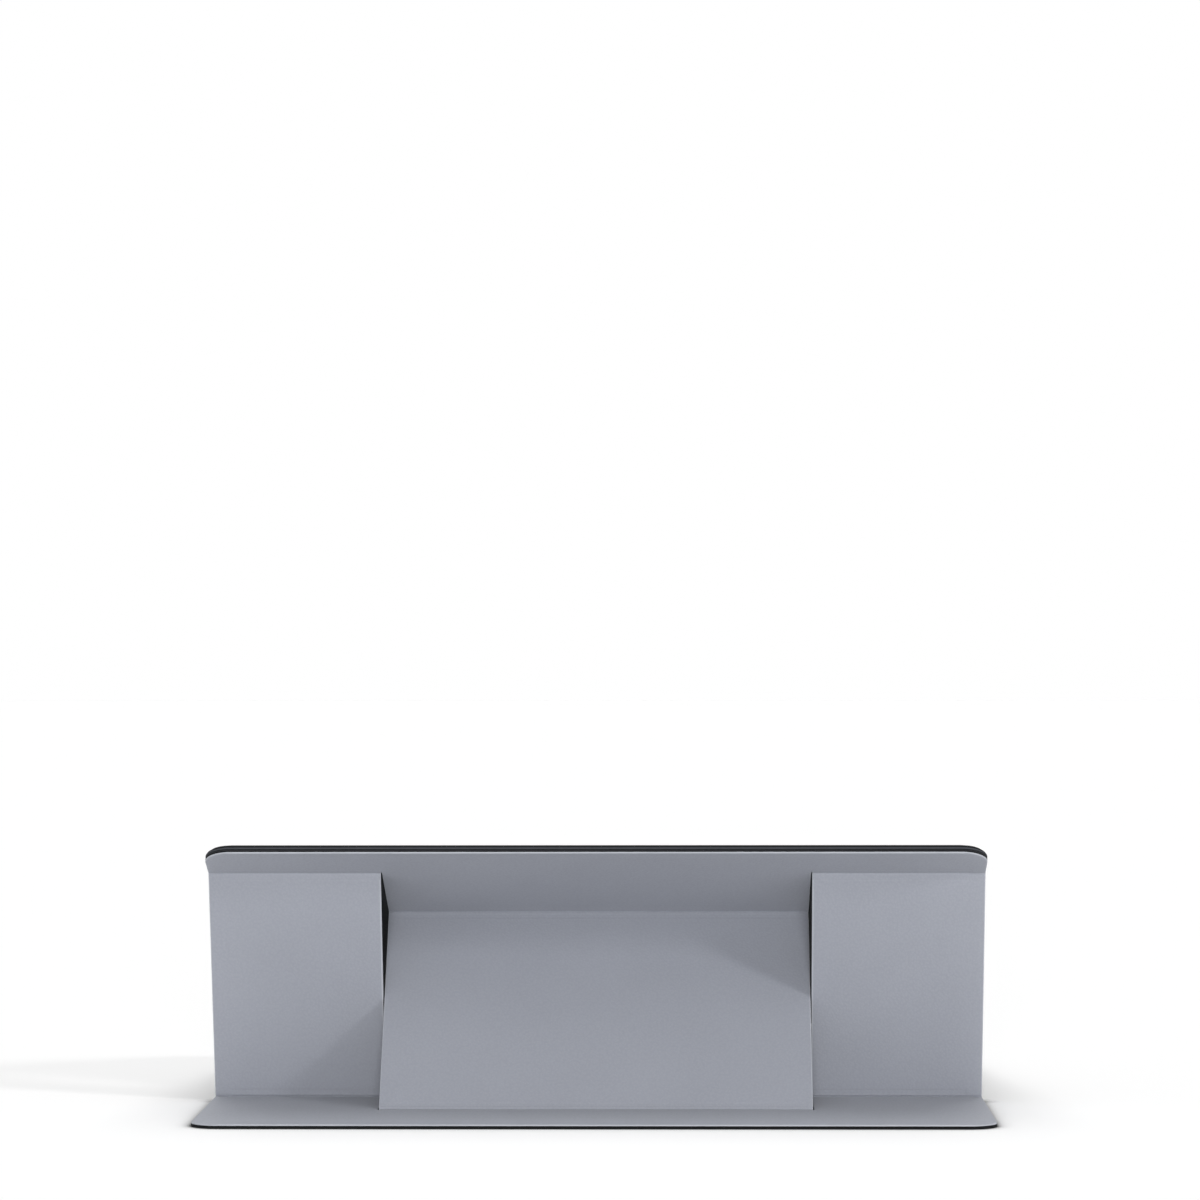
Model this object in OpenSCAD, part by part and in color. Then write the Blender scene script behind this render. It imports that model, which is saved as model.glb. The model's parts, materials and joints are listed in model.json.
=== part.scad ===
// Folding adhesive laptop stand, opened out and standing on its foot.
// One slit and folded leaf is bonded by its top panel to a mounting leaf that sticks to the laptop.
// The left and right legs and the strut cross each other and come down on a broad foot.
// Millimetres. X runs across the stand, +Y towards the user, +Z up, with the table at Z = 0.
// Sheet lengths are measured from the rear edge of the leaf, on its outer face.

/* [Leaf] */
// Width of both leaves
leaf_w = 227; // [200:1:260]
// Length of both leaves, from the rear edge to the front edge when folded flat
leaf_l = 157; // [145:1:180]
// Radius of the leaf's outer corners
corner_r = 8; // [6:0.5:12]

/* [Panels] */
// Length of the rear strip, from the rear edge to the leg folds
strip_l = 16.5; // [13:0.5:24]
// Length of the tongue, from the leg folds to the strut fold
tongue_l = 32.5; // [26:0.5:36]
// Length of the legs from fold to fold, which is the strut's length too
leg_l = 69.5; // [60:0.5:76]
// Width of the tongue and the strut
strut_w = 125.4; // [110:0.2:140]
// Width of the two slits beside the tongue and the strut
slit = 0.3; // [0.3:0.1:1.5]
// Tilt of the mounting leaf above the table
tilt = 24; // [18:0.5:30]

/* [Layers] */
// Thickness of the grey covers
cover_t = 0.45; // [0.3:0.05:0.8]
// Thickness of the black backings at their sealed border
backing_t = 0.75; // [0.6:0.05:1]
// Thickness of the stiffeners sealed inside the panels
stiffener_t = 0.4; // [0.3:0.05:0.5]
// Thickness of the tape that bonds the top panel to the mounting leaf
bond_t = 0.15; // [0.1:0.05:0.4]
// Thickness of the mounting leaf's cover
mount_cover_t = 0.5; // [0.3:0.05:0.6]
// Thickness of the mounting leaf's board
mount_board_t = 0.5; // [0.4:0.05:0.9]
// Thickness of the adhesive pad
adhesive_t = 0.65; // [0.5:0.05:1.2]

/* [Seams and folds] */
// Sealed border between a stiffener and the leaf's outer edge
hem = 4.5; // [3:0.25:5.5]
// Sealed border between a stiffener and a slit or a fold
seam = 1.2; // [0.8:0.1:2]
// Play between a stiffener and its pocket, all round
pocket_play = 0.2; // [0.1:0.05:0.4]
// Half width of the soft band at a fold
fold_half = 2; // [1.5:0.1:3]
// Depth of the band's inner face under the leaf's outer face
fold_t = 0.75; // [0.6:0.05:0.9]
// Depth to which the band is pressed in on the outer face, between the leaf's sealed borders
press = 0.06; // [0.03:0.01:0.2]
// Gap between the strut's lower edge and the band that folds up from the foot
strut_gap = 0.25; // [0.2:0.05:0.5]
// Distance from the tape's edge to the edge of the top panel
tape_inset = 2; // [1:0.25:3]
// Distance from the mounting board's edge to the leaf's edge
board_inset = 0.3; // [0.2:0.1:1]
// Distance from the adhesive pad's edge to the leaf's edge
pad_inset = 1; // [0.5:0.25:3]

/* [Hidden] */
$fn = 64;

// Sheet lengths from the rear edge to the folds
leg_fold_u = strip_l;
strut_fold_u = strip_l + tongue_l;
foot_fold_u = strip_l + leg_l;
strut_foot_u = strip_l + tongue_l + leg_l;

leaf_t = cover_t + backing_t;
cut_over = 1;
bend_steps = 10;

// The legs, the strut, the tongue and the foot are a crossed four-bar with opposite sides equal.
// fold_ratio ties the half angles of its two folds, and the two folds add up to the turn from
// the mounting leaf to the foot, which lies flat on the table.
fold_ratio = (leg_l + tongue_l) / (leg_l - tongue_l);
turn = 180 - tilt;
half_turn_tan = tan(turn / 2);
leg_half_tan = (sqrt(pow(1 + fold_ratio, 2) + 4 * fold_ratio * pow(half_turn_tan, 2))
    - 1 - fold_ratio) / (2 * fold_ratio * half_turn_tan);
// Turn from the top panel to the legs, and from the strut to the foot
leg_turn = 2 * atan(leg_half_tan);
// Turn from the top panel to the strut, and from the legs to the foot
strut_turn = turn - leg_turn;

// A direction in the side view, from Y and Z, that slopes down by angle
function down(angle) = [cos(angle), -sin(angle)];

// The folds in the side view, from the leg and foot fold outwards, and then moved so that the
// origin is under the middle of the part
foot_fold_0 = [0, leaf_t];
leg_fold_0 = foot_fold_0 - leg_l * down(tilt + leg_turn);
stack_t = leaf_t + bond_t + mount_cover_t + mount_board_t;
pad_corner = leg_fold_0 + (leaf_l - pad_inset - leg_fold_u) * down(tilt)
    + (stack_t + adhesive_t) * [sin(tilt), cos(tilt)];
board_corner = leg_fold_0 + (leaf_l - board_inset - leg_fold_u) * down(tilt)
    + stack_t * [sin(tilt), cos(tilt)];
foot_reach = leaf_l - foot_fold_u;
mid_y = (max(pad_corner[0], board_corner[0]) - foot_reach) / 2;
foot_fold = foot_fold_0 - [mid_y, 0];
leg_fold = leg_fold_0 - [mid_y, 0];
strut_fold = leg_fold + tongue_l * down(tilt);
strut_foot = foot_fold - [tongue_l, 0];

grey = "#9497A0";
black = "#1F2125";
charcoal = "#3A3C41";
board_green = "#8F9A8B";
tape_white = "#D9D8D2";

// Lays a flat sheet so that the line at sheet length u lies on a fold, sloping down by angle,
// with its outer face at the fold and its thickness going inwards
module lay(fold, u, angle) {
    translate([0, fold[0], fold[1]]) rotate([-angle, 0, 0]) translate([0, -u, 0]) children();
}

module lay_top() { lay(leg_fold, leg_fold_u, tilt) children(); }
module lay_legs() { lay(leg_fold, leg_fold_u, tilt + leg_turn) children(); }
module lay_strut() { lay(strut_fold, strut_fold_u, tilt + strut_turn) children(); }
module lay_foot() { lay(foot_fold, foot_fold_u, 180) children(); }

// One flat layer of a sheet, from depth under the outer face
module layer(depth, t) { translate([0, 0, depth]) linear_extrude(height = t) children(); }

// A rectangle of the sheet's plan, from its half width and its two sheet lengths
module band(half_w, u_0, u_1) { translate([-half_w, u_0]) square([2 * half_w, u_1 - u_0]); }

// The whole leaf's plan, with round corners
module leaf_plan(inset = 0) {
    r = corner_r - inset;
    half_w = leaf_w / 2 - inset;
    band(half_w, inset + r, leaf_l - inset - r);
    band(half_w - r, inset, leaf_l - inset);
    for (x = [-half_w + r, half_w - r], u = [inset + r, leaf_l - inset - r])
        translate([x, u]) circle(r = r);
}

// Each plan is drawn at its cut edges, or drawn in by edge at the leaf's outer edge and by side
// at slits and folds
module top_plan(edge = 0, side = 0) {
    intersection() {
        leaf_plan(edge);
        union() {
            band(leaf_w / 2, 0, leg_fold_u - fold_half - side);
            band(strut_w / 2 + slit - side, 0, leg_fold_u - side);
            band(strut_w / 2 - side, 0, strut_fold_u - fold_half - side);
        }
    }
}

module right_leg_plan(edge = 0, side = 0) {
    inner_x = strut_w / 2 + slit + side;
    u_0 = leg_fold_u + fold_half + side;
    u_1 = foot_fold_u - fold_half - side;
    translate([inner_x, u_0]) square([leaf_w / 2 - edge - inner_x, u_1 - u_0]);
}

module strut_plan(edge = 0, side = 0) {
    u_1 = strut_foot_u - fold_half - strut_gap;
    band(strut_w / 2 - side, strut_fold_u + fold_half + side, u_1 - side);
}

module foot_plan(edge = 0, side = 0) {
    difference() {
        intersection() {
            leaf_plan(edge);
            band(leaf_w / 2, foot_fold_u + fold_half + side, leaf_l);
        }
        band(strut_w / 2 + slit + side, foot_fold_u, strut_foot_u + side);
        band(strut_w / 2 + side, foot_fold_u, strut_foot_u + fold_half + side);
    }
}

// The three layers of a panel: the cover, the backing with its pocket, and the stiffener in it.
// The pocket's plan comes second, and the stiffener's plan is the pocket's less the play.
module cover() { color(grey) layer(0, cover_t) children(); }

module backing() {
    color(black) difference() {
        layer(cover_t, backing_t) children(0);
        layer(cover_t - cut_over, stiffener_t + cut_over) children(1);
    }
}

module stiffener() { color(board_green) layer(cover_t, stiffener_t) children(); }

// A point of a fold's side view, at a length past the fold and a depth, with its arm turned by angle
function fold_point(past, depth, angle) =
    [past * cos(angle) + depth * sin(angle), depth * cos(angle) - past * sin(angle)];

// Side view of a fold: two arms that turn by angle, with their outer faces at depth. Round bends
// about the fold join them, and the outer one is a sharp line where depth is 0.
module fold_profile(angle, depth) {
    turns = [for (i = [0:bend_steps]) i * angle / bend_steps];
    outer = depth > 0 ? [for (turn = turns) fold_point(0, depth, turn)] : [[0, 0]];
    inner = [for (i = [0:bend_steps]) fold_point(0, fold_t, turns[bend_steps - i])];
    polygon(concat(
        [fold_point(-fold_half, fold_t, 0), fold_point(-fold_half, depth, 0)],
        outer,
        [fold_point(fold_half, depth, angle), fold_point(fold_half, fold_t, angle)],
        inner
    ));
}

// A stretch of a fold's band from x_0 to x_1, pressed to depth, at a fold in the side view
module fold_band(fold, slope, angle, depth, x_0, x_1) {
    color(grey) translate([x_0, fold[0], fold[1]]) rotate([90 - slope, 0, 0]) rotate([0, 90, 0])
        linear_extrude(height = x_1 - x_0) fold_profile(angle, depth);
}

// A leg's fold, pressed from the slit to the sealed border at the leaf's outer edge
module right_leg_fold(fold, slope, angle) {
    fold_band(fold, slope, angle, press, strut_w / 2 + slit, leaf_w / 2);
    fold_band(fold, slope, angle, 0, leaf_w / 2 - hem, leaf_w / 2);
}

// The mounting leaf
module adhesive_pad() {
    color(black) lay_top() layer(stack_t, adhesive_t) leaf_plan(pad_inset);
}

module mount_board() {
    color(black) lay_top() layer(stack_t - mount_board_t, mount_board_t) leaf_plan(board_inset);
}

module mount_cover() {
    color(charcoal) lay_top() layer(leaf_t + bond_t, mount_cover_t) leaf_plan();
}

module bond_tape() {
    color(tape_white) lay_top() layer(leaf_t, bond_t) top_plan(tape_inset, tape_inset);
}

// The top panel, which is the rear strip and the tongue
module top_panel_cover() { lay_top() cover() top_plan(); }
module top_panel_backing() { lay_top() backing() { top_plan(); top_plan(hem, seam); } }
module top_panel_stiffener() { lay_top() stiffener() top_plan(hem + pocket_play, seam + pocket_play); }

// The legs
module right_leg_cover() { lay_legs() cover() right_leg_plan(); }
module right_leg_backing() { lay_legs() backing() { right_leg_plan(); right_leg_plan(hem, seam); } }
module right_leg_stiffener() {
    lay_legs() stiffener() right_leg_plan(hem + pocket_play, seam + pocket_play);
}
module left_leg_cover() { mirror([1, 0, 0]) right_leg_cover(); }
module left_leg_backing() { mirror([1, 0, 0]) right_leg_backing(); }
module left_leg_stiffener() { mirror([1, 0, 0]) right_leg_stiffener(); }

// The strut
module strut_cover() { lay_strut() cover() strut_plan(); }
module strut_backing() { lay_strut() backing() { strut_plan(); strut_plan(hem, seam); } }
module strut_stiffener() { lay_strut() stiffener() strut_plan(hem + pocket_play, seam + pocket_play); }

// The foot, with the notch that the strut was cut from
module foot_cover() { lay_foot() cover() foot_plan(); }
module foot_backing() { lay_foot() backing() { foot_plan(); foot_plan(hem, seam); } }
module foot_stiffener() { lay_foot() stiffener() foot_plan(hem + pocket_play, seam + pocket_play); }

// The folds
module right_leg_top_fold() { right_leg_fold(leg_fold, tilt, leg_turn); }
module right_leg_foot_fold() { right_leg_fold(foot_fold, tilt + leg_turn, strut_turn); }
module left_leg_top_fold() { mirror([1, 0, 0]) right_leg_top_fold(); }
module left_leg_foot_fold() { mirror([1, 0, 0]) right_leg_foot_fold(); }
module strut_top_fold() {
    fold_band(strut_fold, tilt, strut_turn, press, -strut_w / 2, strut_w / 2);
}
module strut_foot_fold() {
    fold_band(strut_foot, tilt + strut_turn, leg_turn, press, -strut_w / 2, strut_w / 2);
}

adhesive_pad();
mount_board();
mount_cover();
bond_tape();
top_panel_cover();
top_panel_stiffener();
top_panel_backing();
left_leg_cover();
left_leg_stiffener();
left_leg_backing();
right_leg_cover();
right_leg_stiffener();
right_leg_backing();
strut_cover();
strut_stiffener();
strut_backing();
foot_cover();
foot_stiffener();
foot_backing();
left_leg_top_fold();
right_leg_top_fold();
strut_top_fold();
left_leg_foot_fold();
right_leg_foot_fold();
strut_foot_fold();
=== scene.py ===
"""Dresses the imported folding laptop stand: skins, layers, folds, finishes, light and camera.

Every sheet of the stand is worked out in sheet coordinates, in millimetres: x runs across the
leaf, u along it from the rear edge, and depth inwards from its outer face. A slope then carries
them into the row frame. The leaf is described by fields of distance over x and u, so the cut
edges, the sealed borders, the pockets and the pressed bands are all functions of those fields.
"""

from __future__ import annotations

import json
import logging
import math
from collections.abc import Iterable, Sequence
from dataclasses import dataclass
from enum import Enum

import bpy
import numpy as np
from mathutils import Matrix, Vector

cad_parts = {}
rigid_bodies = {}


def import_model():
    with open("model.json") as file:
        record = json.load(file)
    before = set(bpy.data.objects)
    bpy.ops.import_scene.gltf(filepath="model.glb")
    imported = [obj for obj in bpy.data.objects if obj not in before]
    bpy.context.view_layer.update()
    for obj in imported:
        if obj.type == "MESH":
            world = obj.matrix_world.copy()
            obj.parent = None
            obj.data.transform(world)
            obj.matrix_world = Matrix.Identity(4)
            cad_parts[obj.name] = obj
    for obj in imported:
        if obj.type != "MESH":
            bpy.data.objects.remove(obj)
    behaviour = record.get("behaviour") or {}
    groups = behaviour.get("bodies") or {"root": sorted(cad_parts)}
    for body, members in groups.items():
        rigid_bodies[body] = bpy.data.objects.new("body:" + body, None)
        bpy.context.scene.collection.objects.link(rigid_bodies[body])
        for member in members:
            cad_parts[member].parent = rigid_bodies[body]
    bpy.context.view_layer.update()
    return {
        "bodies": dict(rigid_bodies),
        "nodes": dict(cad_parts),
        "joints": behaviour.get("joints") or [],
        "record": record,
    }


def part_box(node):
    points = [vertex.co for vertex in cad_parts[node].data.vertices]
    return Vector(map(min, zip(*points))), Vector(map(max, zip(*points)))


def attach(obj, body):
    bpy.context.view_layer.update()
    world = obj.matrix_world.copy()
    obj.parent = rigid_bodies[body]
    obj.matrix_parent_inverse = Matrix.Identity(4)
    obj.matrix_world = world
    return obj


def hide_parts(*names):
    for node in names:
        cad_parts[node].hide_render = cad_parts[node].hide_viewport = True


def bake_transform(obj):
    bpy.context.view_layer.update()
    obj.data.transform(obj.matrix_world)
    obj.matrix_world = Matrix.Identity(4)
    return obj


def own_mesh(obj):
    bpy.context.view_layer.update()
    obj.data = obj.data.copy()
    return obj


LOG = logging.getLogger("laptop_stand")
MM = 0.001
# Faces that meet at more than this many degrees keep a sharp edge between them
SHARP_EDGE = 40
# Grid lines that agree to this many decimals of a millimetre are one line
STOP_DIGITS = 5
# Decimals of a millimetre to which a layer's place is read back, as the third is lost in the frame
LAYER_DIGITS = 2

Array = np.ndarray


class Side(Enum):
    """Which of the two legs, seen from the rear, with the sign of its x."""

    LEFT = -1
    RIGHT = 1


class Arm(Enum):
    """A flat part of the folding leaf in the side view, with the body that it moves with."""

    TOP = "mounting_leaf"
    LEGS = "legs"
    STRUT = "strut"
    FOOT = "foot"


class Fold(Enum):
    """A fold line of the folding leaf, with the flat parts before and after it."""

    LEG_TOP = (Arm.TOP, Arm.LEGS)
    STRUT_TOP = (Arm.TOP, Arm.STRUT)
    LEG_FOOT = (Arm.LEGS, Arm.FOOT)
    STRUT_FOOT = (Arm.STRUT, Arm.FOOT)


class Pattern(Enum):
    """What a finish's pattern follows: the sheet's own map, or the solid."""

    SHEET = "UV"
    SOLID = "Object"


# Finishes


def linear(hex_colour: str) -> tuple[float, float, float, float]:
    """Turns an sRGB hex colour into linear RGBA, by the sRGB standard's own curve.

    Args:
        hex_colour: Six hex digits.

    Returns:
        Red, green, blue and alpha, where alpha is 1.
    """
    values = np.array([int(hex_colour[i : i + 2], 16) for i in (0, 2, 4)]) / 255
    low, high = values / 12.92, ((values + 0.055) / 1.055) ** 2.4
    return (*np.where(values <= 0.04045, low, high).tolist(), 1.0)


def add(tree: bpy.types.NodeTree, kind: str, **settings: object) -> bpy.types.Node:
    """Adds a shader node, sets it and links it.

    Args:
        tree: The node tree to add to.
        kind: The node's type, without "ShaderNode".
        **settings: i and a number is the input of that number. Any other name that the node
            has as a property sets that property, and the rest are inputs, with _ for a space.
            A socket as the value is linked, and anything else is the input's own value.

    Returns:
        The new node.
    """
    node = tree.nodes.new("ShaderNode" + kind)
    for name, value in settings.items():
        numbered = name[0] == "i" and name[1:].isdigit()
        if not numbered and hasattr(node, name):
            setattr(node, name, value)
            continue
        socket = node.inputs[int(name[1:]) if numbered else name.replace("_", " ")]
        if isinstance(value, bpy.types.NodeSocket):
            tree.links.new(value, socket)
        else:
            socket.default_value = value
    return node


@dataclass(frozen=True)
class Finish:
    """A surface finish, whose colour runs between two tones with the height of its pattern.

    Attributes:
        name: The material's name.
        colour: The tone of the pattern's tops.
        shade: The tone of its hollows.
        roughness: The mean roughness.
        grain: Size of the pattern's grain, in millimetres.
        relief: Height of the pattern, in millimetres.
        pattern: What the pattern follows.
        cloud: Size of the soft clouds in the colour, in millimetres.
        specular: Strength of the mirror reflection, where 0.5 is the plain one.
        sheen: How much of the light at a flat angle the grain catches.
        grain_share: How much of the way between the two tones the grain makes.
        rough_swing: How much rougher than the mean the hollows are, and the tops smoother.
    """

    name: str
    colour: str
    shade: str
    roughness: float
    grain: float
    relief: float
    pattern: Pattern = Pattern.SHEET
    cloud: float = 38.0
    specular: float = 0.5
    sheen: float = 0.0
    grain_share: float = 0.5
    rough_swing: float = 0.05

    def height(self, tree: bpy.types.NodeTree, at: bpy.types.NodeSocket) -> bpy.types.NodeSocket:
        """The pattern's height, from 0 to 1: plain fine noise, as on a rubbed or moulded face."""
        return add(tree, "TexNoise", Vector=at, Scale=1 / (self.grain * MM), Detail=3.0).outputs[0]

    def build(self) -> bpy.types.Material:
        """Makes the material once, and gives the same one after that.

        The colour runs between shade and colour with the pattern's height and soft clouds, the
        hollows are a little rougher than the tops, and a bump carries the height.

        Returns:
            The finish's node material.
        """
        made = bpy.data.materials.get(self.name)
        if made:
            return made
        material = bpy.data.materials.new(self.name)
        material.use_nodes = True
        tree = material.node_tree
        tree.nodes.clear()
        at = add(tree, "TexCoord").outputs[self.pattern.value]
        height = self.height(tree, at)
        cloud = add(tree, "TexNoise", Vector=at, Scale=1 / (self.cloud * MM), Detail=2.0).outputs[0]
        swing = {"i0": height, "i1": self.grain_share, "i2": -self.grain_share / 2}
        grain = add(tree, "Math", operation="MULTIPLY_ADD", **swing).outputs[0]
        share = add(tree, "Math", operation="ADD", use_clamp=True, i0=grain, i1=cloud).outputs[0]
        colours = {"i6": linear(self.shade), "i7": linear(self.colour)}
        colour = add(tree, "Mix", data_type="RGBA", i0=share, **colours).outputs[2]
        ends = {"i3": self.roughness + self.rough_swing, "i4": self.roughness - self.rough_swing}
        rough = add(tree, "MapRange", i0=height, **ends)
        bump = add(tree, "Bump", Height=height, Distance=self.relief * MM).outputs[0]
        shader = add(
            tree,
            "BsdfPrincipled",
            Base_Color=colour,
            Roughness=rough.outputs[0],
            Normal=bump,
            Specular_IOR_Level=self.specular,
            Sheen_Weight=self.sheen,
        )
        add(tree, "OutputMaterial", Surface=shader.outputs[0])
        return material


@dataclass(frozen=True)
class PebbledSkin(Finish):
    """Polyurethane leather, embossed by a roller with fine round pebbles.

    Attributes:
        shake: Scale of the noise that shakes the pebbles out of line, over the pebbles' own.
        crown: Distance from a pebble's middle, in cells, up to which it is at its full height.
        valley: Distance at which it has sunk to the ground between pebbles.
    """

    shake: float = 0.4
    crown: float = 0.1
    valley: float = 0.7

    def height(self, tree: bpy.types.NodeTree, at: bpy.types.NodeSocket) -> bpy.types.NodeSocket:
        """Makes the pattern's height: the smooth cells of a Voronoi pattern, shaken by noise.

        Args:
            tree: The material's node tree.
            at: The socket with the pattern's coordinates, in metres.

        Returns:
            The socket with the height, from 0 between the pebbles to 1 on them.
        """
        scale = 1 / (self.grain * MM)
        noise = add(tree, "TexNoise", Vector=at, Scale=self.shake * scale, Detail=2.0).outputs[1]
        reach = (self.grain * MM,) * 3
        shaken = add(tree, "VectorMath", operation="MULTIPLY_ADD", i0=noise, i1=reach, i2=at)
        cells = add(
            tree,
            "TexVoronoi",
            feature="SMOOTH_F1",
            Vector=shaken.outputs[0],
            Scale=scale,
            Smoothness=0.6,
        )
        return add(tree, "MapRange", i0=cells.outputs[0], i1=self.valley, i2=self.crown).outputs[0]


@dataclass(frozen=True)
class MicroSuction(Finish):
    """Tacky foam with fine open pores, cast against a smooth film.

    Attributes:
        pit: Radius of a pore's flat bottom, in cells.
        brim: Radius at which the pore has risen to the face.
    """

    pit: float = 0.1
    brim: float = 0.35

    def height(self, tree: bpy.types.NodeTree, at: bpy.types.NodeSocket) -> bpy.types.NodeSocket:
        """Pores are small round pits at the points of a Voronoi pattern, in a level face."""
        cells = add(tree, "TexVoronoi", Vector=at, Scale=1 / (self.grain * MM)).outputs[0]
        return add(tree, "MapRange", i0=cells, i1=self.pit, i2=self.brim).outputs[0]


# Polyurethane leather in grey: matt and even, with a fine round grain that takes light softly and
# whose tops catch it where the face is seen at a flat angle. The real grain is about 0.4 mm, and is
# drawn at 0.7 mm so that it shows.
GREY_LEATHER = PebbledSkin(
    "grey_pu_leather", "999CA5", "91949D", 0.6, 0.7, 0.02, specular=0.35, sheen=0.09
)
# The die-cut edge of that leather: its pale foam and base cloth, drier and lighter than the face. It
# also covers a thin line of the face along the cut edges, partly as that foam and partly as painted
# highlight where light catches the edges.
CUT_EDGE_AND_HIGHLIGHT = Finish("die_cut_edge_and_highlight", "B2B5BC", "A2A5AD", 0.8, 0.3, 0.03, Pattern.SOLID, 9.0)
# Polyurethane film in black, with a fine dry grain: the inner side of the leaf and the sole
BLACK_FILM = PebbledSkin("black_pu_film", "242629", "1A1C1F", 0.68, 0.5, 0.03, specular=0.3)
# The same film's solid black edge, where it was cut: dull, and the darkest line of the stand
BLACK_EDGE = Finish("black_film_edge", "17181A", "101113", 0.8, 0.3, 0.03, Pattern.SOLID, 9.0, 0.1)
# Charcoal leather on the mounting leaf, of the same rolled grain as the grey one
CHARCOAL_LEATHER = PebbledSkin(
    "charcoal_pu_leather", "2F3136", "282A2E", 0.62, 0.7, 0.02, specular=0.3
)
# Its cut edge, a dusty dark grey between the two black lines
CHARCOAL_EDGE = Finish(
    "die_cut_charcoal_edge", "46484D", "3A3C40", 0.85, 0.3, 0.03, Pattern.SOLID, 9.0, 0.15
)
# Pressed fibreboard dyed black through and through: dull, with short fibres
BLACK_BOARD = Finish(
    "black_fibreboard", "1D1F21", "151618", 0.9, 0.45, 0.04, Pattern.SOLID, 12.0, 0.1
)
# Glass-fibre laminate, pale green grey, slightly glossy over its weave
GLASS_LAMINATE = Finish("glass_fibre_laminate", "97A293", "85917F", 0.4, 0.9, 0.02, Pattern.SOLID)
# Micro-suction foam: black, tacky and hardly glossy, pitted with pores at twice their real size
SUCTION_FOAM = MicroSuction("micro_suction_foam", "1E1F21", "131415", 0.55, 0.6, 0.05, specular=0.2)
# Double-sided tissue tape, off-white and matt
TISSUE_TAPE = Finish("tissue_tape", "DDDCD6", "CFCEC6", 0.75, 0.6, 0.02, Pattern.SOLID, 15.0)


# Sheets


def smooth(t: Array) -> Array:
    """Rises from 0 to 1 as t does, level at both ends: t squared times 3 less 2 t."""
    t = np.clip(t, 0, 1)
    return t * t * (3 - 2 * t)


def rounding(distance: Array, radius: float) -> Array:
    """How far a rounded edge has dropped at a distance in from it: a quarter circle."""
    short = np.clip(radius - distance, 0, radius)
    return radius - np.sqrt(radius**2 - short**2)


def quarter(radius: float, count: int) -> Array:
    """Distances in from an edge to points that are spaced evenly round a quarter circle."""
    return radius * (1 - np.cos(np.linspace(0, math.pi / 2, count)))


def ruled(stops: Iterable[float], pitch: float) -> Array:
    """Rules lines through every stop, with even ones between them.

    Args:
        stops: Places that a line has to go through.
        pitch: The widest gap between two lines.

    Returns:
        The lines' places, rising.
    """
    stops = np.unique(np.round(list(stops), STOP_DIGITS))
    spans = zip(stops[:-1], stops[1:], strict=True)
    between = [np.linspace(a, b, max(math.ceil((b - a) / pitch), 1) + 1)[1:] for a, b in spans]
    return np.concatenate([stops[:1], *between])


@dataclass(frozen=True)
class Slope:
    """A flat sheet in the side view: a fold's y and z, its u, and the angle the sheet runs down at."""

    fold: tuple[float, float]
    fold_u: float
    angle: float

    def place(self, x: Array, u: Array, depth: Array) -> Array:
        """Carries sheet coordinates into the row frame, still in millimetres.

        y and z are the fold's, plus the length past the fold along the slope, plus the depth
        square to it.

        Args:
            x: Places across the leaf.
            u: Places along it.
            depth: Depths under its outer face.

        Returns:
            The points, with x, y and z last.
        """
        cos, sin = math.cos(self.angle), math.sin(self.angle)
        past = u - self.fold_u
        y = self.fold[0] + past * cos + depth * sin
        z = self.fold[1] - past * sin + depth * cos
        return np.stack([x, y, z], axis=-1)


@dataclass(frozen=True)
class Bend:
    """A fold's band in the side view: the slope before it, its turn, and the bend's half length."""

    before: Slope
    turn: float
    half: float

    def place(self, x: Array, u: Array, depth: Array) -> Array:
        """Carries sheet coordinates round the fold, as Slope does on a flat sheet.

        The slope's angle rises smoothly from the first arm's to the second's over the bend, and
        each point lies its own length and depth from the fold, at the angle that it has there.

        Args:
            x: Places across the leaf.
            u: Places along it.
            depth: Depths under its outer face.

        Returns:
            The points, with x, y and z last.
        """
        past = u - self.before.fold_u
        angle = self.before.angle + self.turn * smooth((past + self.half) / (2 * self.half))
        cos, sin = np.cos(angle), np.sin(angle)
        y = self.before.fold[0] + past * cos + depth * sin
        z = self.before.fold[1] - past * sin + depth * cos
        return np.stack([x, y, z], axis=-1)


def rim_edges(inside: Array, index: Array) -> tuple[Array, Array]:
    """Finds the outline of the cells that are in a layer.

    Args:
        inside: True for each cell of the grid that the layer holds.
        index: The number of each grid point.

    Returns:
        The first and the second point of every edge, so that the layer is on their right when
        it is seen from the side that its depth comes from.
    """
    padded = np.pad(inside, 1)
    rows, columns = inside.shape
    firsts, seconds = [], []
    # For each side of a cell: its neighbour there, and the two corners that it shares with it
    sides = (
        ((0, -1), (0, 0), (1, 0)),
        ((0, 1), (1, 1), (0, 1)),
        ((-1, 0), (0, 1), (0, 0)),
        ((1, 0), (1, 0), (1, 1)),
    )
    for (down, across), first, second in sides:
        beside = padded[1 + down : 1 + down + rows, 1 + across : 1 + across + columns]
        i, j = np.nonzero(inside & ~beside)
        firsts.append(index[i + first[0], j + first[1]])
        seconds.append(index[i + second[0], j + second[1]])
    return np.concatenate(firsts), np.concatenate(seconds)


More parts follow.
